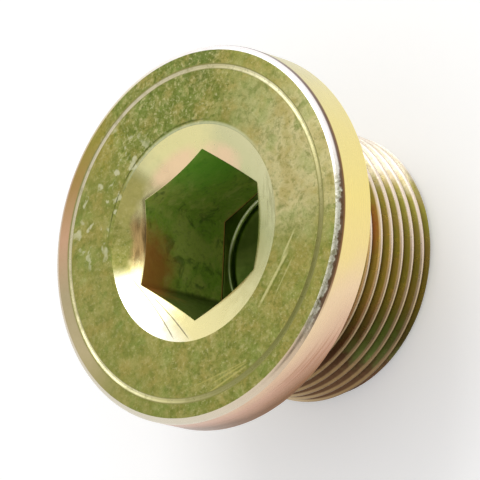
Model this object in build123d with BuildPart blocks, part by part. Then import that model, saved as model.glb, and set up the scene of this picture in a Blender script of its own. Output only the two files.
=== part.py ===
"""Hexagon socket screw plug: a round collar over a threaded shank, one solid turned piece.

Millimetres. The plug stands on the end of its shank, head up: the origin is the
centre of that end and +Z comes out of the middle of the head. +X points at a corner
of the hexagon.
"""

import os
from math import radians, sqrt, tan

from build123d import *

# ---------------------------------------------------------------- driving dimensions
THREAD_MAJOR = 26.0            # metric fine thread, diameter over the crests
THREAD_PITCH = 1.5
SHANK_LENGTH = 15.0            # from the sealing face under the collar to the end
COLLAR_DIA = 35.5
COLLAR_HEIGHT = 4.6
SOCKET_AF = 14.0               # hexagon socket, across flats
SOCKET_DEPTH = 12.2            # from the head face to the end of the flats

# head
LEAD_IN_MARGIN = 2.15          # countersink beyond the hexagon's corners, on the head face
LEAD_IN_SLOPE = 22.0           # degrees below the head face
RIM_RADIUS = 0.55              # rounded corner of the collar
RING_MARGIN = 2.1              # from the collar's side in to the turned ring line
RING_WIDTH = 0.5
RING_DEPTH = 0.16
BAND_SLOPE = 4.0               # degrees, the band outside the ring line falls away
SEAL_EDGE_BREAK = 0.2

# shank
END_CHAMFER = 0.55 * THREAD_PITCH
RELIEF_WIDTH = 2 * THREAD_PITCH    # undercut between the thread and the collar

# round bottom of the socket, left by the drill that opened it
PILOT_DIA = 0.9 * SOCKET_AF
PILOT_STEP = 0.8               # how far it goes on below the flats
PILOT_POINT_ANGLE = 118.0      # included angle of its cone

# ---------------------------------------------------------------- what follows from them
TOTAL_HEIGHT = SHANK_LENGTH + COLLAR_HEIGHT
COLLAR_R = COLLAR_DIA / 2
CREST_R = THREAD_MAJOR / 2
ROOT_R = CREST_R - 0.6134 * THREAD_PITCH       # root of an external metric thread
RELIEF_R = ROOT_R - 0.15 * THREAD_PITCH
RELIEF_BOTTOM = SHANK_LENGTH - RELIEF_WIDTH
HEX_CORNER_R = SOCKET_AF / sqrt(3)
LEAD_IN_R = HEX_CORNER_R + LEAD_IN_MARGIN
LEAD_IN_APEX = TOTAL_HEIGHT - LEAD_IN_R * tan(radians(LEAD_IN_SLOPE))
RING_R = COLLAR_R - RING_MARGIN
RIM_HEIGHT = TOTAL_HEIGHT - (RING_MARGIN - RING_WIDTH / 2) * tan(radians(BAND_SLOPE))
SOCKET_FLOOR = TOTAL_HEIGHT - SOCKET_DEPTH
PILOT_R = PILOT_DIA / 2
PILOT_FLOOR = SOCKET_FLOOR - PILOT_STEP
PILOT_TIP = PILOT_FLOOR - PILOT_R / tan(radians(PILOT_POINT_ANGLE / 2))


with BuildPart() as plug:
    # Collar, shank and countersink in one half section. The threaded length is drawn as
    # the cylinder over its crests.
    with BuildSketch(Plane.XZ) as section:
        with BuildLine():
            Polyline(
                (0, 0),
                (CREST_R - END_CHAMFER, 0),
                (CREST_R, END_CHAMFER),
                (CREST_R, RELIEF_BOTTOM - (CREST_R - RELIEF_R)),
                (RELIEF_R, RELIEF_BOTTOM),
                (RELIEF_R, SHANK_LENGTH),
                (COLLAR_R - SEAL_EDGE_BREAK, SHANK_LENGTH),
                (COLLAR_R, SHANK_LENGTH + SEAL_EDGE_BREAK),
                (COLLAR_R, RIM_HEIGHT),
                (RING_R + RING_WIDTH / 2, TOTAL_HEIGHT),
                (RING_R, TOTAL_HEIGHT - RING_DEPTH),
                (RING_R - RING_WIDTH / 2, TOTAL_HEIGHT),
                (LEAD_IN_R, TOTAL_HEIGHT),
                (0, LEAD_IN_APEX),
                close=True,
            )
        make_face()
        rim_corner = section.vertices().sort_by_distance((COLLAR_R, RIM_HEIGHT))[0]
        fillet(rim_corner, RIM_RADIUS)
    revolve(axis=Axis.Z)

    # The hexagon meets the countersink's cone, so its mouth dips in the middle of each flat.
    with BuildSketch(Plane.XY.offset(SOCKET_FLOOR)):
        RegularPolygon(radius=HEX_CORNER_R, side_count=6)
    extrude(amount=SOCKET_DEPTH, mode=Mode.SUBTRACT)

    # Round bottom under the flats, with a narrow ledge in each corner of the hexagon.
    with BuildSketch(Plane.XZ):
        with BuildLine():
            Polyline(
                (0, SOCKET_FLOOR),
                (PILOT_R, SOCKET_FLOOR),
                (PILOT_R, PILOT_FLOOR),
                (0, PILOT_TIP),
                close=True,
            )
        make_face()
    revolve(axis=Axis.Z, mode=Mode.SUBTRACT)
plug.part.label = "plug"

os.makedirs("parts", exist_ok=True)
export_step(plug.part, "parts/plug.step")
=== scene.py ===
"""Hexagon socket screw plug in yellow passivated steel, standing on the end of its shank.

The frame is the solid's own: origin at the centre of the shank's end, +Z out of the head, +X at
a corner of the hexagon. Lengths are in millimetres, also in the materials, and the mesh is scaled
to metres once. Azimuths are degrees round +Z from +X. Colours are written as hex screen colours.
"""
import math
import bpy
import bmesh
import numpy as np
from mathutils import Matrix, Vector


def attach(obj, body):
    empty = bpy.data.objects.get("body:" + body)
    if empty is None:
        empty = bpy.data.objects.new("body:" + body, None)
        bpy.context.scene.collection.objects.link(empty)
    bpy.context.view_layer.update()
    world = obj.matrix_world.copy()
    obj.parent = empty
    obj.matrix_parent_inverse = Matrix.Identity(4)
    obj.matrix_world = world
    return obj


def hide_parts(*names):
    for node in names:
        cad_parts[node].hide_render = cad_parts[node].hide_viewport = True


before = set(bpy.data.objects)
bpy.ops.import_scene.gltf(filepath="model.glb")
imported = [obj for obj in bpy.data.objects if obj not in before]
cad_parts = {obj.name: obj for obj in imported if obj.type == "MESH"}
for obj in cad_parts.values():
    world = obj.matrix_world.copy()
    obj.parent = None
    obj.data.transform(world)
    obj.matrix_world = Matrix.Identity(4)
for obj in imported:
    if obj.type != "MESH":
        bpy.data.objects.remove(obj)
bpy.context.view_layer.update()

# ---------------------------------------------------------------- sizes, in millimetres

MM = 0.001

# thread, its end and the undercut above it
CREST_R = 13.0
PITCH = 1.5
THREAD_PHASE = 0.3 + PITCH * 47.44 / 360        # a crest's height at azimuth 0
CREST_FLAT = PITCH / 8
THREAD_DEPTH = 0.6134 * PITCH
ROOT_ROUND = 0.144 * PITCH
CREST_WEAR = 0.022              # depth lost at each corner of the crest
CREST_WEAR_REACH = 0.045        # and how far to either side of the corner
END_CHAMFER = 0.825
RELIEF_R = 11.855
RELIEF_BOTTOM = 12.0

# collar, with the ring line near its rim
SEAL_Z = 15.0
SEAL_EDGE_BREAK = 0.2
COLLAR_R = 17.75
TOP_Z = 19.6
RIM_ROUND = 0.55
BAND_SLOPE = math.tan(math.radians(4.0))
RING_R = 15.65
RING_HALF = 0.25
RING_DEPTH = 0.16

# socket: countersink, hexagon and the round bottom under it
LEAD_IN_R = 10.233
LEAD_IN_SLOPE = math.tan(math.radians(22.0))
LEAD_IN_SOFT = 0.12             # width of the rounded edge between face and countersink
HEX_HALF_AF = 7.0
HEX_CORNER_ROUND = 0.14
HEX_FLOOR_Z = 7.4
MOUTH_SOFT = 0.07               # width of the rounded edge between countersink and hexagon
PILOT_R = 6.3
PILOT_EDGE_R = PILOT_R + 0.28   # where the rounding of the ledge's inner edge begins
PILOT_Z = 6.6
PILOT_TIP_Z = 2.81
PILOT_CENTRE_Z = PILOT_TIP_Z + 0.12

# ---------------------------------------------------------------- mesh density

COLUMNS_PER_FLAT = 66
# heights of a turn's rows from its crest: round the crest's corner, down the flank, to the root
HALF_TURN = np.array([0.055, 0.094, 0.135, 0.26, 0.41, 0.563, 0.65])
TURN_ROWS = np.concatenate([-HALF_TURN[::-1], HALF_TURN, [PITCH / 2]])
SHARP_ANGLE = math.radians(38)
WELD = 2e-8                     # metres; closer points become one

# finishes, in the order of the mesh's material slots
FACE, RING, EDGE, SIDE, CONE, THREAD, WALL, BOTTOM = range(8)


# ---------------------------------------------------------------- shape

def column_angles():
    """Angles of the mesh's columns: even, with closer ones beside each corner of the hexagon."""
    near = np.radians([0.0, 0.28, 0.56, 0.9, 1.4])
    side = math.radians(60)
    even = np.linspace(near[-1], side - near[-1], COLUMNS_PER_FLAT - 2 * len(near) + 3)
    flat = np.concatenate([near[:-1], even, side - near[:0:-1]])
    return np.concatenate([flat + step * side for step in range(6)])


THETA = column_angles()
ONES = np.ones_like(THETA)


def rounded(corners, steps=3):
    """Points (r, z) of an open outline, each corner (r, z, radius) rounded off with a small arc."""
    points = [np.array(corners[0][:2], float)]
    for before, corner, after in zip(corners, corners[1:], corners[2:]):
        here = np.array(corner[:2], float)
        to_before = np.array(before[:2]) - here
        to_after = np.array(after[:2]) - here
        to_before /= np.linalg.norm(to_before)
        to_after /= np.linalg.norm(to_after)
        half = math.acos(np.clip(to_before @ to_after, -1, 1)) / 2
        radius = corner[2]
        nearly_straight = half > 1.55
        if radius == 0 or nearly_straight:
            points.append(here)
            continue
        middle = to_before + to_after
        middle *= radius / math.sin(half) / np.linalg.norm(middle)
        start_arm = here + to_before * radius / math.tan(half) - (here + middle)
        end_arm = here + to_after * radius / math.tan(half) - (here + middle)
        sweep = math.pi - 2 * half
        for step in range(steps + 1):
            t = step / steps
            arm = math.sin((1 - t) * sweep) * start_arm + math.sin(t * sweep) * end_arm
            points.append(here + middle + arm / math.sin(sweep))
    points.append(np.array(corners[-1][:2], float))
    return points


def circle_rows(points):
    """Rows round the axis, one for each point (r, z) of an outline."""
    return [(r * ONES, z * ONES) for r, z in points]


def thread_radius(z):
    """Radius of the threaded length at height z of each column, both of its ends included."""
    along = (z - THREAD_PHASE - PITCH * THETA / math.tau + PITCH / 2) % PITCH - PITCH / 2
    away = np.abs(along)
    flank = CREST_R - (away - CREST_FLAT / 2) * math.sqrt(3)
    root_centre = CREST_R - THREAD_DEPTH + ROOT_ROUND
    beside = np.clip(PITCH / 2 - away, 0, ROOT_ROUND)
    root = root_centre - np.sqrt(ROOT_ROUND ** 2 - beside ** 2)
    in_root = PITCH / 2 - away < ROOT_ROUND * math.cos(math.radians(30))
    profile = np.minimum(np.where(in_root, root, flank), CREST_R)
    near_corner = np.clip(1 - np.abs(away - CREST_FLAT / 2) / CREST_WEAR_REACH, 0, 1)
    chamfer = CREST_R - END_CHAMFER + z
    run_out = RELIEF_R + np.maximum(RELIEF_BOTTOM - z, 0)
    return np.minimum(np.minimum(profile - CREST_WEAR * near_corner, chamfer), run_out)


def thread_rows():
    """Rows that climb with the helix, cut off level at both ends of the threaded length."""
    climb = PITCH * THETA / math.tau
    heights = [0 * ONES]
    for turn in range(-2, int(RELIEF_BOTTOM / PITCH) + 2):
        for offset in TURN_ROWS:
            z = np.clip(THREAD_PHASE + turn * PITCH + offset + climb, 0, RELIEF_BOTTOM)
            if z.max() > 0 and z.min() < RELIEF_BOTTOM:
                heights.append(z)
    heights.append(RELIEF_BOTTOM * ONES)
    return [(thread_radius(z), z) for z in heights]


def hexagon_radius():
    """Distance of the hexagon's wall from the axis at each column, corners slightly rounded."""
    from_corner = np.abs((THETA + math.radians(30)) % math.radians(60) - math.radians(30))
    flat = HEX_HALF_AF / np.cos(math.radians(30) - from_corner)
    centre = (HEX_HALF_AF - HEX_CORNER_ROUND) / math.cos(math.radians(30))
    inside = HEX_CORNER_ROUND ** 2 - (centre * np.sin(from_corner)) ** 2
    arc = centre * np.cos(from_corner) + np.sqrt(np.maximum(inside, 0))
    on_arc = centre * np.sin(from_corner) < HEX_CORNER_ROUND / 2
    return np.where(on_arc, arc, flat)


def socket_strips():
    """Rows of the countersink down to the hexagon's mouth, of its walls, and of the bottom."""
    wall = hexagon_radius()

    def on_cone(r):
        return TOP_Z - (LEAD_IN_R - r) * LEAD_IN_SLOPE

    cone = []
    for share in (0.0, 0.3, 0.6, 0.85):
        r = (LEAD_IN_R - LEAD_IN_SOFT) * (1 - share) + (wall + MOUTH_SOFT) * share
        cone.append((r, on_cone(r)))
    cone.append((wall + MOUTH_SOFT, on_cone(wall + MOUTH_SOFT)))
    mouth = on_cone(wall)
    for out, up in ((0.42, 0.02), (0.12, -0.35)):
        cone.append((wall + MOUTH_SOFT * out, mouth + MOUTH_SOFT * up))

    wall_top = mouth - MOUTH_SOFT * 1.1
    walls = [(wall, wall_top)]
    for share in (0.25, 0.5, 0.75, 1.0):
        walls.append((wall, wall_top * (1 - share) + (HEX_FLOOR_Z + 0.14) * ONES * share))

    ledge = [(wall - 0.04, (HEX_FLOOR_Z + 0.04) * ONES), (wall - 0.14, HEX_FLOOR_Z * ONES)]
    ledge.append(((wall - 0.14 + PILOT_EDGE_R) / 2, HEX_FLOOR_Z * ONES))
    bottom = rounded([
        (PILOT_EDGE_R, HEX_FLOOR_Z, 0), (PILOT_R, HEX_FLOOR_Z, 0.2), (PILOT_R, PILOT_Z, 0.25),
        (PILOT_R * 0.6, PILOT_Z * 0.6 + PILOT_TIP_Z * 0.4, 0), (0.9, PILOT_TIP_Z + 0.54, 0),
        (0.3, PILOT_TIP_Z + 0.25, 0)])
    return cone, walls, ledge + circle_rows(bottom)


def plug_strips():
    """Rows from the end face up the outside and down into the socket, in strips of one finish."""
    def band_z(r):
        return TOP_Z - max(r - (RING_R - RING_HALF), 0) * BAND_SLOPE

    rim_z = band_z(COLLAR_R)
    band_middle = (RING_R + 1.2, band_z(RING_R + 1.2), 0)
    end_face = [(r, 0) for r in (0.5, 4.0, 8.0, 11.6, CREST_R - END_CHAMFER - 0.1)]
    outside = rounded([
        (RELIEF_R, RELIEF_BOTTOM + 0.02, 0), (RELIEF_R, SEAL_Z, 0.3),
        (COLLAR_R - SEAL_EDGE_BREAK, SEAL_Z, 0.05), (COLLAR_R, SEAL_Z + SEAL_EDGE_BREAK, 0.08),
        (COLLAR_R, SEAL_Z + 2.0, 0), (COLLAR_R, rim_z, RIM_ROUND), band_middle], steps=5)[:-1]
    edge = [point for point in outside if point[1] > rim_z - RIM_ROUND + 0.06]
    side = outside[:-len(edge)]
    top = rounded([
        band_middle, (RING_R + 0.31, band_z(RING_R + 0.31), 0),
        (RING_R + RING_HALF, band_z(RING_R + RING_HALF), 0.05), (RING_R, TOP_Z - RING_DEPTH, 0.05),
        (RING_R - RING_HALF, TOP_Z, 0.05), (14.0, TOP_Z, 0), (12.2, TOP_Z, 0),
        (LEAD_IN_R, TOP_Z, 0.25),
        (LEAD_IN_R - LEAD_IN_SOFT, TOP_Z - LEAD_IN_SOFT * LEAD_IN_SLOPE, 0)])[:-1]
    band = [point for point in top if point[0] > RING_R + RING_HALF + 0.03]
    ring = [point for point in top if abs(point[0] - RING_R) < RING_HALF + 0.03]
    flat = top[len(band) + len(ring):]
    cone, walls, bottom = socket_strips()
    return [(circle_rows(end_face), SIDE), (thread_rows(), THREAD), (circle_rows(side), SIDE),
            (circle_rows(edge), EDGE), (circle_rows(band), FACE), (circle_rows(ring), RING),
            (circle_rows(flat), FACE), (cone, CONE), (walls, WALL), (bottom, BOTTOM)]


def joined_rows(finishes):
    """Faces between rows of those finishes and the fans that close both ends, with finishes."""
    count = len(THETA)
    first = finishes.index(THREAD)
    last = first + finishes.count(THREAD) - 1

    def next_column(i, j):
        """Vertex of thread row i in the column after j; past the last, the row a turn up."""
        if j + 1 < count:
            return i * count + j + 1
        return min(i + len(TURN_ROWS), last) * count

    faces, slots = [], []
    for i in range(len(finishes) - 1):
        for j in range(count):
            if first <= i < last:
                right = (next_column(i, j), next_column(i + 1, j))
            else:
                right = (i * count + (j + 1) % count, (i + 1) * count + (j + 1) % count)
            faces.append((i * count + j, *right, (i + 1) * count + j))
            slots.append(finishes[i + 1])
    # what the helix leaves open beside the level row at the shank's end
    for i in range(first, first + len(TURN_ROWS)):
        faces.append((first * count + count - 1, i * count, (i + 1) * count))
        slots.append(THREAD)
    end_centre = len(finishes) * count
    last_row = end_centre - count
    for j in range(count):
        k = (j + 1) % count
        faces.append((end_centre, k, j))
        slots.append(SIDE)
        faces.append((end_centre + 1, last_row + j, last_row + k))
        slots.append(BOTTOM)
    return faces, slots


def plug_mesh():
    """The whole plug as one closed mesh."""
    strips = plug_strips()
    rows = [row for zone, finish in strips for row in zone]
    faces, slots = joined_rows([finish for zone, finish in strips for row in zone])
    r, z = np.array(rows).swapaxes(0, 1)
    verts = np.stack([r * np.cos(THETA), r * np.sin(THETA), z], 2).reshape(-1, 3)
    verts = [tuple(v) for v in verts] + [(0, 0, 0), (0, 0, PILOT_CENTRE_Z)]
    mesh = bpy.data.meshes.new("plug_body")
    mesh.from_pydata([(x * MM, y * MM, h * MM) for x, y, h in verts], [], faces)
    mesh.polygons.foreach_set("material_index", slots)
    work = bmesh.new()
    work.from_mesh(mesh)
    bmesh.ops.remove_doubles(work, verts=work.verts, dist=WELD)
    work.to_mesh(mesh)
    work.free()
    mesh.validate()
    mesh.polygons.foreach_set("use_smooth", [True] * len(mesh.polygons))
    mesh.set_sharp_from_angle(angle=SHARP_ANGLE)
    return mesh


# ---------------------------------------------------------------- material helpers

class Tree:
    """Short calls for building a node tree."""

    def __init__(self, tree):
        self.tree = tree
        self.tree.nodes.clear()

    def new(self, kind, settings=None, **inputs):
        """A node; inputs go by name, with _ for a space, or by number as i0, i1 and so on."""
        node = self.tree.nodes.new(kind)
        for name, value in (settings or {}).items():
            setattr(node, name, value)
        for name, value in inputs.items():
            by_number = name[0] == "i" and name[1:].isdigit()
            key = int(name[1:]) if by_number else name.replace("_", " ")
            self.put(node.inputs[key], value)
        return node

    def put(self, socket, value):
        """Link a socket or node to the socket, or set its value."""
        if isinstance(value, bpy.types.NodeSocket):
            self.tree.links.new(value, socket)
        elif isinstance(value, bpy.types.Node):
            self.tree.links.new(value.outputs[0], socket)
        else:
            socket.default_value = value

    def math(self, kind, a, b=0.0):
        return self.new("ShaderNodeMath", {"operation": kind}, i0=a, i1=b).outputs[0]

    def times(self, a, b):
        return self.math("MULTIPLY", a, b)

    def off(self, value, middle):
        """Distance of a value from the middle."""
        return self.math("ABSOLUTE", self.math("SUBTRACT", value, middle))

    def ramp(self, value, low, high, to_low=0.0, to_high=1.0):
        """Smooth step from to_low at low to to_high at high; low may be the greater one."""
        node = self.new("ShaderNodeMapRange", {"interpolation_type": "SMOOTHSTEP"}, i0=value,
                        i1=low, i2=high, i3=to_low, i4=to_high)
        return node.outputs[0]

    def mix(self, share, a, b):
        node = self.new("ShaderNodeMix", {"data_type": "RGBA"}, i0=share, i6=a, i7=b)
        return node.outputs[2]

    def stain(self, colour, where, shade, share=1.0):
        """The colour, with a written shade laid over it where that is 1, at most by the share."""
        if share != 1.0:
            where = self.times(where, share)
        return self.mix(where, colour, srgb(shade))

    def bands(self, value, stops):
        """Colour by value, from stops of (value, written colour)."""
        low, high = stops[0][0], stops[-1][0]
        share = self.new("ShaderNodeMapRange", None, i0=value, i1=low, i2=high)
        node = self.new("ShaderNodeValToRGB", None, i0=share)
        elements = node.color_ramp.elements
        while len(elements) < len(stops):
            elements.new(1.0)
        for element, (at, colour) in zip(elements, stops):
            element.position = (at - low) / (high - low)
        for element, (at, colour) in zip(elements, stops):
            element.color = srgb(colour)
        return node.outputs[0]

    def noise(self, where, scale, detail=3.0, rough=0.5, distort=0.0):
        return self.new("ShaderNodeTexNoise", None, Vector=where, Scale=scale, Detail=detail,
                        Roughness=rough, Distortion=distort).outputs[0]

    def waver(self, place, scale, detail, rough, amount):
        """Noise round nought, for an outline or a border to wander by."""
        noise = self.noise(place, scale, detail, rough)
        return self.times(self.math("SUBTRACT", noise, 0.5), amount)

    def height(self, place):
        return self.new("ShaderNodeSeparateXYZ", None, Vector=place).outputs["Z"]

    def radius(self, place):
        flat = self.new("ShaderNodeVectorMath", {"operation": "MULTIPLY"}, i0=place, i1=(1, 1, 0))
        return self.new("ShaderNodeVectorMath", {"operation": "LENGTH"}, i0=flat).outputs["Value"]

    def toward(self, place, azimuth):
        """How far a point lies from the axis towards that azimuth."""
        turn = math.radians(azimuth)
        side = (math.cos(turn), math.sin(turn), 0)
        return self.new("ShaderNodeVectorMath", {"operation": "DOT_PRODUCT"}, i0=place,
                        i1=side).outputs["Value"]

    def patch(self, place, at, reach, fade, waver=1.5):
        """1 round a place (azimuth, radius, height), 0 beyond reach plus fade, outline wavering."""
        turn = math.radians(at[0])
        centre = (at[1] * math.cos(turn), at[1] * math.sin(turn), at[2])
        away = self.new("ShaderNodeVectorMath", {"operation": "DISTANCE"}, i0=place,
                        i1=centre).outputs["Value"]
        shift = self.waver(place, 0.7 / waver, 4, 0.6, 4 * waver)
        return self.ramp(self.math("ADD", away, shift), reach + fade, reach)

    def flat_vector(self, x, y):
        return self.new("ShaderNodeCombineXYZ", None, X=x, Y=y)

    def bump(self, height, strength, depth):
        return self.new("ShaderNodeBump", None, Strength=strength, Distance=depth * MM,
                        Height=height)

    def rough(self, value, low, high):
        """Roughness from low to high over the usual span of a noise."""
        return self.ramp(value, 0.3, 0.7, low, high)

    def finish(self, shader, colour, roughness, normal):
        self.put(shader.inputs["Base Color"], colour)
        self.put(shader.inputs["Roughness"], roughness)
        self.put(shader.inputs["Normal"], normal)


def srgb(text):
    """Linear colour of a written hex colour."""
    parts = [int(text[i:i + 2], 16) / 255 for i in (0, 2, 4)]
    line = [c / 12.92 if c < 0.04045 else ((c + 0.055) / 1.055) ** 2.4 for c in parts]
    return (*line, 1.0)


def start(name, metallic=1.0):
    """A material with its tree, its shader and the object's coordinates in millimetres."""
    material = bpy.data.materials.new(name)
    material.use_nodes = True
    tree = Tree(material.node_tree)
    shader = tree.new("ShaderNodeBsdfPrincipled", None, Metallic=metallic)
    tree.new("ShaderNodeOutputMaterial", None, Surface=shader)
    coords = tree.new("ShaderNodeTexCoord").outputs["Object"]
    place = tree.new("ShaderNodeVectorMath", {"operation": "SCALE"}, Vector=coords,
                     Scale=1 / MM).outputs[0]
    return material, tree, shader, place


def grain(tree, place, colour, amount):
    """Mottling of the passivated skin laid over a colour; also gives its two noises."""
    middle = tree.noise(place, 1.7, 5, 0.7)
    fine = tree.noise(place, 3.6, 3, 0.6)
    for noise, none, full, most, shade in (
            (middle, 0.5, 0.68, 0.55, "BBB47C"), (middle, 0.49, 0.34, 0.75, "606C28"),
            (fine, 0.54, 0.72, 0.5, "CDC796"), (fine, 0.44, 0.28, 0.6, "525C28")):
        share = tree.times(tree.times(tree.ramp(noise, none, full), most), amount)
        colour = tree.stain(colour, share, shade)
    return colour, middle, fine


def score(tree, place, azimuth, across, reach, width):
    """1 on a straight scratch that runs towards an azimuth, so far off the axis, over a reach."""
    line = tree.off(tree.toward(place, azimuth + 90), across)
    line = tree.math("SUBTRACT", line, tree.times(tree.noise(place, 1.2, 2), width))
    along = tree.toward(place, azimuth)
    inside = tree.times(tree.ramp(along, reach[0], reach[0] + 1.0),
                        tree.ramp(along, reach[1], reach[1] - 1.0))
    return tree.times(tree.ramp(line, width * 0.7, 0.0), inside)


def cut_marks(tree, place, density):
    """Fine lines of turning round the axis."""
    lines = tree.flat_vector(tree.times(tree.radius(place), density),
                             tree.times(tree.height(place), density))
    return tree.noise(lines, 1.0, 3, 0.6)


# ---------------------------------------------------------------- materials

# large stains of the head's face: (azimuth, radius, height), reach, fade, colour, share
FACE_STAINS = [
    ((-4, 13.3, 19.6), 3.4, 6.5, "C2B886", 0.92),
    ((30, 13.0, 19.6), 0.5, 5.0, "A5A66C", 0.7),
    ((74, 13.5, 19.6), 3.0, 5.0, "6C7A34", 0.8),
    ((110, 16.3, 19.4), 1.0, 3.0, "958A34", 0.7),
    ((-95, 13.0, 19.6), 1.0, 6.0, "84853F", 0.6),
    ((58, 16.7, 19.5), 0.8, 3.2, "5C6830", 0.75),
    ((175, 13.5, 19.6), 1.0, 3.5, "95904E", 0.6),
    ((-60, 14.2, 19.6), 0.5, 3.0, "8C843C", 0.6),
]
# clouds and warmer or greener places all over it: scale, detail, roughness, distortion, then for
# the high and for the low side of the noise: from where to where, colour, share
FACE_CLOUDS = [
    ((0.62, 4, 0.62, 0.4), (0.5, 0.64, "A39C5C", 0.55), (0.49, 0.36, "6E7632", 0.55)),
    ((0.45, 3, 0.55), (0.5, 0.66, "A3914E", 0.42), (0.48, 0.34, "7E9248", 0.34)),
]
# scores on the face: azimuth, distance off the axis, from where to where, width, colour, share
FACE_SCORES = [
    (-154, 11.52, (-4.4, 1.8), 0.16, "C6C086", 0.75),
    (-153, 11.85, (-4.0, 1.2), 0.07, "6A6A30", 0.5),
    (-149, 11.55, (-5.5, -1.8), 0.12, "C9C48C", 0.6),
    (-151, 12.6, (-3.6, 0.8), 0.08, "BDB87C", 0.5),
    (-5, -15.0, (-4.4, 1.6), 0.09, "BDB468", 0.55),
    (-9, -14.6, (-2.4, 2.6), 0.09, "BDB468", 0.5),
    (-14, -14.2, (-3.4, 4.0), 0.07, "B5AC62", 0.4),
]
# the band outside the ring line, on its smooth side, by the distance towards azimuth 68
BAND_COLOURS = [(-13.0, "A0985E"), (-8.0, "BAAC84"), (-2.0, "B0A27E"), (3.5, "C6A080"),
                (8.5, "A68850"), (12.5, "958B3A")]


def face_material():
    """Head as forged: matt olive, mottled and scored, its outer band smooth on one side."""
    material, tree, shader, place = start("plated_forged")
    radius = tree.radius(place)
    ground = tree.ramp(tree.noise(place, 0.2, 4, 0.6), 0.4, 0.62)
    colour = tree.mix(ground, srgb("83863F"), srgb("928F49"))
    for at, reach, fade, shade, share in FACE_STAINS:
        colour = tree.stain(colour, tree.patch(place, at, reach, fade), shade, share)
    for pattern, *sides in FACE_CLOUDS:
        noise = tree.noise(place, *pattern)
        for none, full, shade, share in sides:
            colour = tree.stain(colour, tree.ramp(noise, none, full), shade, share)

    coarse = 0.5
    for at, reach, fade, more in (((78, 14.5, 19.6), 5.5, 5.0, 0.6),
                                  ((-95, 14.5, 19.6), 5.0, 6.0, 0.25)):
        patch = tree.patch(place, at, reach, fade)
        coarse = tree.math("ADD", coarse, tree.times(patch, more))
    colour, middle, fine = grain(tree, place, colour, coarse)

    specks = tree.ramp(tree.noise(place, 0.95, 2, 0.45, 0.4), 0.59, 0.68)
    specks = tree.times(specks, tree.patch(place, (126, 12.0, 19.6), 4.8, 3.0))
    colour = tree.stain(colour, specks, "C8C6A2", 0.7)
    for azimuth, across, reach, width, shade, share in FACE_SCORES:
        line = score(tree, place, azimuth, across, reach, width)
        colour = tree.stain(colour, line, shade, share)

    # painted glint: a pale line on the countersink's edge, on the side towards azimuth 66
    painted_edge_glint = tree.times(tree.ramp(radius, LEAD_IN_R + 0.34, LEAD_IN_R + 0.1),
                          tree.ramp(tree.toward(place, 66), 5.0, 8.5))
    colour = tree.stain(colour, painted_edge_glint, "C9CBA6", 0.6)
    # painted shadow: a dark line just outside the countersink's edge, towards azimuth 100, broken
    # up by the mottling
    painted_rim_shadow = tree.times(tree.ramp(tree.off(radius, LEAD_IN_R + 0.42), 0.13, 0.03),
                           tree.ramp(tree.toward(place, 100), 6.5, 9.0))
    broken = tree.times(tree.ramp(middle, 0.35, 0.55), 0.8)
    colour = tree.stain(colour, tree.times(painted_rim_shadow, broken), "4C5424")

    smooth_band = tree.times(tree.ramp(radius, RING_R + 0.1, RING_R + 0.5),
                             tree.ramp(tree.toward(place, 158), 8.5, 14.0))
    colour = tree.mix(smooth_band, colour, tree.bands(tree.toward(place, 68), BAND_COLOURS))
    pits = tree.math("ADD", tree.times(middle, 0.6), tree.times(fine, 0.4))
    pits = tree.times(pits, tree.math("SUBTRACT", 1.0, tree.times(smooth_band, 0.8)))
    tree.finish(shader, colour, tree.rough(middle, 0.42, 0.56), tree.bump(pits, 0.4, 0.15))
    return material


def ring_material():
    """Turned ring line: pale and bright, partly as a painted highlight, fading to the colour of the
    face on one side.
    """
    material, tree, shader, place = start("plated_ring", metallic=0.3)
    # pale by azimuth, partly the ring's own colour and partly a painted highlight; dimmest, near
    # the face's colour, towards azimuth -70
    pale = tree.bands(tree.toward(place, 110), [
        (-15.7, "8C8C4A"), (-12.5, "9C985A"), (-8.0, "D2CA8C"), (-3.0, "F0EAB6"),
        (2.0, "F4EEC0"), (8.0, "D0C796"), (12.0, "CFC6A0"), (15.7, "DDD3B4")])
    line = tree.ramp(tree.off(tree.radius(place), RING_R), 0.25, 0.13)
    broken = tree.ramp(tree.noise(place, 0.9, 4, 0.6), 0.36, 0.5, 0.65, 1.0)
    colour = tree.mix(tree.times(line, broken), srgb("88843F"), pale)
    tree.finish(shader, colour, tree.rough(tree.noise(place, 1.5, 3), 0.26, 0.4),
                tree.bump(tree.noise(place, 3.0, 3), 0.2, 0.05))
    return material


def edge_material():
    """Rim of the collar, where the coat is thin: silver to cream, painted near white on one side as
    a highlight, nicked and brown on one side.
    """
    material, tree, shader, place = start("plated_rim")
    # silver to cream round the rim, near white towards azimuth 32: a painted highlight
    colour = tree.bands(tree.toward(place, 32), [
        (-17.7, "DAD3C0"), (-9.0, "D6C4AC"), (-2.0, "C2A486"), (3.0, "CDBB90"), (9.0, "EADFC6"),
        (13.0, "FBF4EF"), (17.7, "FDF7F6")])
    nicked = tree.patch(place, (-42, 17.5, 19.3), 5.0, 5.0, 0.8)
    rugged = tree.noise(place, 2.4, 4, 0.7)
    colour = tree.stain(colour, nicked, "CCCEBE", 0.75)
    nicks = tree.times(tree.ramp(rugged, 0.5, 0.58), 0.6)
    colour = tree.stain(colour, tree.times(nicked, nicks), "76743C")
    ragged = tree.math("SUBTRACT", tree.noise(place, 1.6, 4, 0.65), 0.6)
    ragged = tree.times(ragged, tree.times(nicked, 0.9))
    brown = tree.ramp(tree.math("ADD", tree.height(place), ragged), 19.24, 19.06)
    brown = tree.times(brown, tree.ramp(tree.toward(place, -5), 6.5, 11.0))
    colour = tree.stain(colour, brown, "5A3A20", 0.92)
    smooth = tree.rough(tree.noise(place, 1.2, 3), 0.2, 0.34)
    tree.finish(shader, colour, tree.math("ADD", smooth, tree.times(nicked, 0.22)),
                tree.bump(tree.times(rugged, nicked), 0.5, 0.12))
    return material


# azimuth of the side where the coat drained and is thickest; it also lies away from the lamp, and
# its browns are partly painted shade
COAT_AND_SHADE_SIDE = -122


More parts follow.
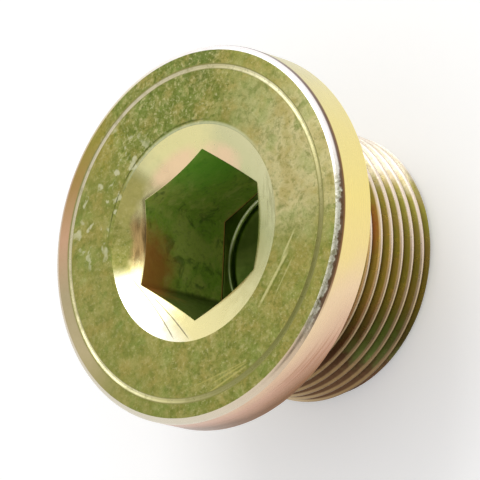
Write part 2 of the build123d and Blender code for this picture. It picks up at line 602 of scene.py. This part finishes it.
def side_material():
    """Collar's side, undercut and end: smooth yellow, peach to brown where the coat ran thick and
    away from the lamp, the browns partly painted shade; the undercut darkened as painted shade.
    """
    material, tree, shader, place = start("plated_turned")
    radius, z = tree.radius(place), tree.height(place)
    toward_coat_and_shade = tree.toward(place, COAT_AND_SHADE_SIDE)
    # lower down, most on that side, the colour runs on towards brown: partly the coat's colour,
    # partly painted shade
    below = tree.math("MINIMUM", tree.math("SUBTRACT", 17.2, z), 2.3)
    low = tree.times(below, tree.ramp(toward_coat_and_shade, 4.0, 16.0, 0.6, 3.2))
    coat = tree.math("ADD", toward_coat_and_shade, tree.math("ADD", tree.waver(place, 0.16, 3, 0.5, 5.0), low))
    colour = tree.bands(coat, [
        (-17.5, "CFC996"), (-12.0, "E8DB98"), (-3.0, "F3E08E"), (2.5, "F2DC96"), (6.0, "EFD3AC"),
        (10.5, "E2C0A2"), (14.0, "D2A88F"), (17.0, "B88F74"), (20.0, "8A6444")])
    # painted shade: the undercut under the collar darkened to red-brown
    undercut = tree.times(tree.ramp(radius, 13.2, 12.4), tree.ramp(z, 11.6, 12.4))
    colour = tree.stain(colour, undercut, "A06A42")
    along = tree.toward(place, -32)
    run = tree.flat_vector(tree.times(along, 0.12),
                           tree.math("ADD", tree.times(z, 3.4), tree.times(along, 0.5)))
    runs = tree.times(tree.ramp(tree.noise(run, 1.0, 3, 0.6), 0.54, 0.66),
                      tree.ramp(coat, 9.0, 14.0))
    colour = tree.stain(colour, runs, "A8744C", 0.45)
    stained = tree.times(tree.ramp(tree.toward(place, 5), 6.0, 11.0), 0.9)
    line = tree.times(tree.ramp(z, 18.62, 18.78), stained)
    colour = tree.stain(colour, tree.times(line, tree.ramp(radius, 17.2, 17.5)), "6A3A1E")
    cuts = cut_marks(tree, place, 7.0)
    tree.finish(shader, colour, tree.rough(cuts, 0.24, 0.34), tree.bump(cuts, 0.08, 0.04))
    return material


def cone_material():
    """Countersink: smooth and pale, near white on one side as a painted highlight, peach beside the
    hexagon, brown and olive on one side.
    """
    material, tree, shader, place = start("plated_countersink")
    radius = tree.radius(place)
    # pale all round, near white towards azimuth -160: a painted highlight over the coat's own
    # colours
    colour = tree.bands(tree.toward(place, -160), [
        (-9.8, "CFCB9C"), (-5.0, "C0C28E"), (-1.0, "D6D29A"), (3.0, "E6DDA0"), (7.2, "EFE3A4"),
        (9.5, "FBF8EA")])
    upper = tree.patch(place, (75, 9.4, 19.2), 2.0, 4.0, 0.8)
    colour = tree.stain(colour, upper, "EADFA0", 0.7)
    for at, reach in (((88, 7.6, 18.5), 1.3), ((40, 7.5, 18.5), 0.4)):
        peach = tree.times(tree.patch(place, at, reach, 3.2, 0.8), tree.ramp(radius, 9.2, 8.0))
        colour = tree.stain(colour, peach, "EEC9A6", 0.75)

    streak_place = tree.flat_vector(tree.toward(place, -27),
                                    tree.times(tree.toward(place, 63), 0.15))
    streaks = tree.ramp(tree.noise(streak_place, 1.8, 3, 0.6), 0.4, 0.62)
    brown = tree.times(tree.patch(place, (148, 8.1, 18.8), 1.2, 2.2, 0.35), 0.9)
    colour = tree.mix(brown, colour, tree.mix(streaks, srgb("7C5E32"), srgb("B4925E")))

    # the face's skin comes down over this part of the cone
    ragged_radius = tree.math("ADD", radius, tree.waver(place, 0.6, 4, 0.6, 1.6))
    facing = tree.math("DIVIDE", tree.toward(place, 138), radius)
    skin = tree.times(tree.ramp(ragged_radius, 8.0, 8.8), tree.ramp(facing, 0.82, 0.92))
    olive, middle, fine = grain(tree, place, srgb("918F4C"), 0.7)
    olive = tree.stain(olive, tree.patch(place, (122, 9.2, 19.1), 1.0, 2.8, 0.5), "C8BE74", 0.6)
    colour = tree.mix(skin, colour, olive)

    for azimuth, across, reach in ((-76.1, -8.1, (-3.4, 6.0)), (-69.6, -7.62, (-1.2, 6.6))):
        colour = tree.stain(colour, score(tree, place, azimuth, across, reach, 0.06), "6C6450", 0.8)
    worn = tree.times(tree.patch(place, (-18, 9.9, 19.3), 0.8, 2.6, 0.5),
                      tree.ramp(streaks, 0.3, 0.7))
    colour = tree.stain(colour, worn, "9A9868", 0.5)
    smooth = tree.rough(tree.noise(place, 0.9, 3), 0.18, 0.28)
    height = tree.math("ADD", tree.times(cut_marks(tree, place, 3.5), 0.25),
                       tree.times(skin, middle))
    tree.finish(shader, colour, tree.math("ADD", smooth, tree.times(skin, 0.22)),
                tree.bump(height, 0.2, 0.05))
    return material


def thread_material():
    """Thread: pale crests, partly burnished and partly painted glints, olive flanks, roots darkened
    as painted shade, one side painted pale as glare, the side away from the lamp painted brown as
    shade.
    """
    material, tree, shader, place = start("plated_thread")
    radius = tree.radius(place)
    ground = tree.ramp(tree.noise(place, 0.3, 4, 0.6), 0.35, 0.65)
    colour = tree.mix(ground, srgb("948E3E"), srgb("9C8A4A"))
    # painted shade: brown on the side away from the lamp, towards azimuth -104
    colour = tree.stain(colour, tree.ramp(tree.toward(place, -104), 7.0, 12.0), "5E4430")
    # a green stain low down, and red-brown just under the collar, which is painted shade
    for at, reach, fade, waver, shade, share in (
            ((-72, 12.6, 3.6), 1.0, 3.6, 1.5, "78964A", 0.65),
            ((-24, 12.6, 10.6), 1.5, 2.5, 0.6, "B06A44", 0.85)):
        colour = tree.stain(colour, tree.patch(place, at, reach, fade, waver), shade, share)
    # painted glare: the side towards azimuth 45 washed pale
    painted_glare = tree.math("ADD", tree.toward(place, 45), tree.waver(place, 0.5, 4, 0.6, 5.0))
    painted_glare = tree.ramp(painted_glare, 7.5, 11.0)
    colour = tree.stain(colour, painted_glare, "CFC3B2", 0.74)
    # painted shade: the roots darkened, less where the glare is painted
    root_r = CREST_R - THREAD_DEPTH
    root = tree.times(tree.ramp(radius, root_r + 0.4, root_r + 0.06),
                      tree.ramp(painted_glare, 1.0, 0.0, 0.35, 1.0))
    colour = tree.stain(colour, root, "4A3614")
    # crest colour: pale, partly burnished and partly painted glints, dimmed towards azimuth -95 as
    # painted shade
    crest_colour = tree.bands(tree.toward(place, -95), [
        (-6.0, "ECE0D0"), (5.0, "EAD6C4"), (9.5, "CDB794"), (12.9, "8E7450")])
    colour = tree.mix(tree.ramp(radius, CREST_R - 0.27, CREST_R - 0.12), colour, crest_colour)
    tree.finish(shader, colour, tree.rough(tree.noise(place, 2.0, 4), 0.26, 0.38),
                tree.bump(tree.noise(place, 4.0, 4), 0.2, 0.05))
    return material


def wall_material():
    """Flats of the socket: clouded green, red-brown near the mouth on one side, one flat painted
    dark as shade.
    """
    material, tree, shader, place = start("plated_socket", metallic=0.3)
    ground = tree.ramp(tree.noise(place, 0.35, 4, 0.6), 0.4, 0.6)
    colour = tree.mix(ground, srgb("9ABC46"), srgb("BCCA62"))
    cloud = tree.noise(place, 0.55, 4, 0.65, 0.6)
    colour = tree.stain(colour, tree.ramp(cloud, 0.48, 0.34), "5E7A2C", 0.75)
    colour = tree.stain(colour, tree.ramp(cloud, 0.54, 0.68), "D0D87C", 0.6)
    colour, middle, fine = grain(tree, place, colour, 0.4)
    fresh = tree.patch(place, (62, 7.4, 16.5), 2.2, 4.5, 0.9)
    colour = tree.stain(colour, fresh, "78C43E", 0.7)
    # painted shade: the flat towards azimuth -150 darkened
    painted_shade_flat = tree.ramp(tree.toward(place, -150), 6.5, 6.9)
    colour = tree.stain(colour, painted_shade_flat, "46541F", 0.85)
    foot = tree.ramp(tree.height(place), HEX_FLOOR_Z + 0.32, HEX_FLOOR_Z + 0.17)
    colour = tree.stain(colour, foot, "DDA064")
    red = tree.patch(place, (165, 7.4, 18.2), 1.6, 3.8, 0.9)
    colour = tree.stain(colour, red, "B87638", 0.9)
    tree.finish(shader, colour, tree.rough(middle, 0.32, 0.48),
                tree.bump(tree.math("ADD", middle, cloud), 0.35, 0.12))
    return material


def bottom_material():
    """Ledge under the flats and the round bottom: dark green, its edge painted bright on one side
    as a glint.
    """
    material, tree, shader, place = start("plated_bottom")
    ground = tree.ramp(tree.noise(place, 0.5, 4, 0.6), 0.38, 0.62)
    colour = tree.mix(ground, srgb("566A2A"), srgb("687A36"))
    # painted glint: the rounded edge of the round bottom near white, strongest towards azimuth 78
    painted_lip_glint = tree.times(tree.ramp(tree.radius(place), PILOT_R + 0.3, PILOT_R + 0.2),
                     tree.ramp(tree.height(place), HEX_FLOOR_Z - 0.4, HEX_FLOOR_Z - 0.2))
    painted_lip_glint = tree.times(painted_lip_glint, tree.ramp(tree.toward(place, 78), 2.5, 4.5, 0.15, 1.0))
    colour = tree.stain(colour, painted_lip_glint, "FBFFE0")
    tree.finish(shader, colour, tree.rough(tree.noise(place, 1.5, 4), 0.36, 0.5),
                tree.bump(tree.noise(place, 1.2, 5), 0.3, 0.1))
    return material


# ---------------------------------------------------------------- scene

FLOOR_HALF = 2.0
FLOOR_GLOW = 0.3                        # what lifts the lit floor to white for the camera
AMBIENT = 0.66                          # light of the studio all round
WHITE = (1, 1, 1, 1)
LENS_SIDE = (0.265, -0.459, 0.848)      # where photographer and lens darken the reflections
LENS_DARK = (0.24, 0.23, 0.21, 1)
KEY_SIDE = (0.1986, 0.6113, 0.766)
KEY_DISTANCE = 0.5
KEY_SIZE = 0.3
KEY_POWER = 0.8
KEY_AIM = Vector((0, 0, 0.014))


def shown_ray(tree):
    """1 for the rays that show the backdrop: from the camera, in gloss and through glass."""
    path = tree.new("ShaderNodeLightPath")
    seen = tree.math("MAXIMUM", path.outputs["Is Camera Ray"], path.outputs["Is Glossy Ray"])
    return tree.math("MAXIMUM", seen, path.outputs["Is Transmission Ray"])


def make_floor():
    """A pale plane that shows white and keeps the plug's shadow."""
    mesh = bpy.data.meshes.new("floor")
    corners = [(x * FLOOR_HALF, y * FLOOR_HALF, 0) for x, y in ((-1, -1), (1, -1), (1, 1), (-1, 1))]
    mesh.from_pydata(corners, [], [(0, 1, 2, 3)])
    floor = bpy.data.objects.new("floor", mesh)
    bpy.context.collection.objects.link(floor)
    material = bpy.data.materials.new("floor_pale")
    material.use_nodes = True
    tree = Tree(material.node_tree)
    shader = tree.new(
        "ShaderNodeBsdfPrincipled", None, Base_Color=(0.85, 0.85, 0.85, 1), Roughness=1.0,
        Emission_Color=WHITE, Emission_Strength=tree.times(shown_ray(tree), FLOOR_GLOW))
    tree.put(shader.inputs["Specular IOR Level"], 0.0)
    tree.new("ShaderNodeOutputMaterial", None, Surface=shader)
    mesh.materials.append(material)


def make_world():
    """White round about, with a darker place where photographer and lens stand."""
    world = bpy.data.worlds.new("studio")
    bpy.context.scene.world = world
    world.use_nodes = True
    tree = Tree(world.node_tree)
    direction = tree.new("ShaderNodeTexCoord").outputs["Generated"]
    near = tree.new("ShaderNodeVectorMath", {"operation": "DOT_PRODUCT"}, i0=direction,
                    i1=LENS_SIDE).outputs["Value"]
    mirrored = tree.mix(tree.ramp(near, 0.76, 0.9), WHITE, LENS_DARK)
    path = tree.new("ShaderNodeLightPath")
    shown = tree.mix(path.outputs["Is Camera Ray"], mirrored, WHITE)
    colour = tree.mix(shown_ray(tree), (AMBIENT, AMBIENT, AMBIENT, 1), shown)
    back = tree.new("ShaderNodeBackground", None, Color=colour, Strength=1.0)
    tree.new("ShaderNodeOutputWorld", None, Surface=back)


def make_key():
    """The one lamp: a square softbox behind the head, aimed at it."""
    light = bpy.data.lights.new("key", "AREA")
    light.shape = "RECTANGLE"
    light.size = light.size_y = KEY_SIZE
    light.energy = KEY_POWER
    lamp = bpy.data.objects.new("key", light)
    offset = Vector(KEY_SIDE).normalized() * KEY_DISTANCE
    lamp.location = KEY_AIM + offset
    lamp.rotation_mode = "QUATERNION"
    lamp.rotation_quaternion = offset.to_track_quat("Z", "Y")
    bpy.context.collection.objects.link(lamp)


def make_camera():
    """The photographer's place: over the head, 46 degrees up, the camera turned on its side."""
    right = Vector((0.66348, -0.33826, -0.66737))
    up = Vector((0.58419, 0.79149, 0.17961))
    back = Vector((0.46746, -0.50903, 0.72275))
    camera = bpy.data.cameras.new("camera")
    camera.lens = 289.82
    camera.sensor_width = 36.0
    camera.clip_start, camera.clip_end = 0.01, 10.0
    holder = bpy.data.objects.new("camera", camera)
    turn = Matrix((right, up, back)).transposed().to_4x4()
    holder.matrix_world = Matrix.Translation(Vector((0.16848, -0.18275, 0.27309))) @ turn
    bpy.context.collection.objects.link(holder)
    bpy.context.scene.camera = holder


def make_plug():
    """The plug with its materials in the order of the finishes, standing in for the solid."""
    plug = bpy.data.objects.new("plug_body", plug_mesh())
    bpy.context.collection.objects.link(plug)
    for material in (face_material(), ring_material(), edge_material(), side_material(),
                     cone_material(), thread_material(), wall_material(), bottom_material()):
        plug.data.materials.append(material)
    even = plug.modifiers.new("even_normals", "WEIGHTED_NORMAL")
    even.keep_sharp = True
    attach(plug, "root")
    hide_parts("plug")


make_plug()
make_floor()
make_world()
make_key()
make_camera()
bpy.context.scene.view_settings.view_transform = "Standard"
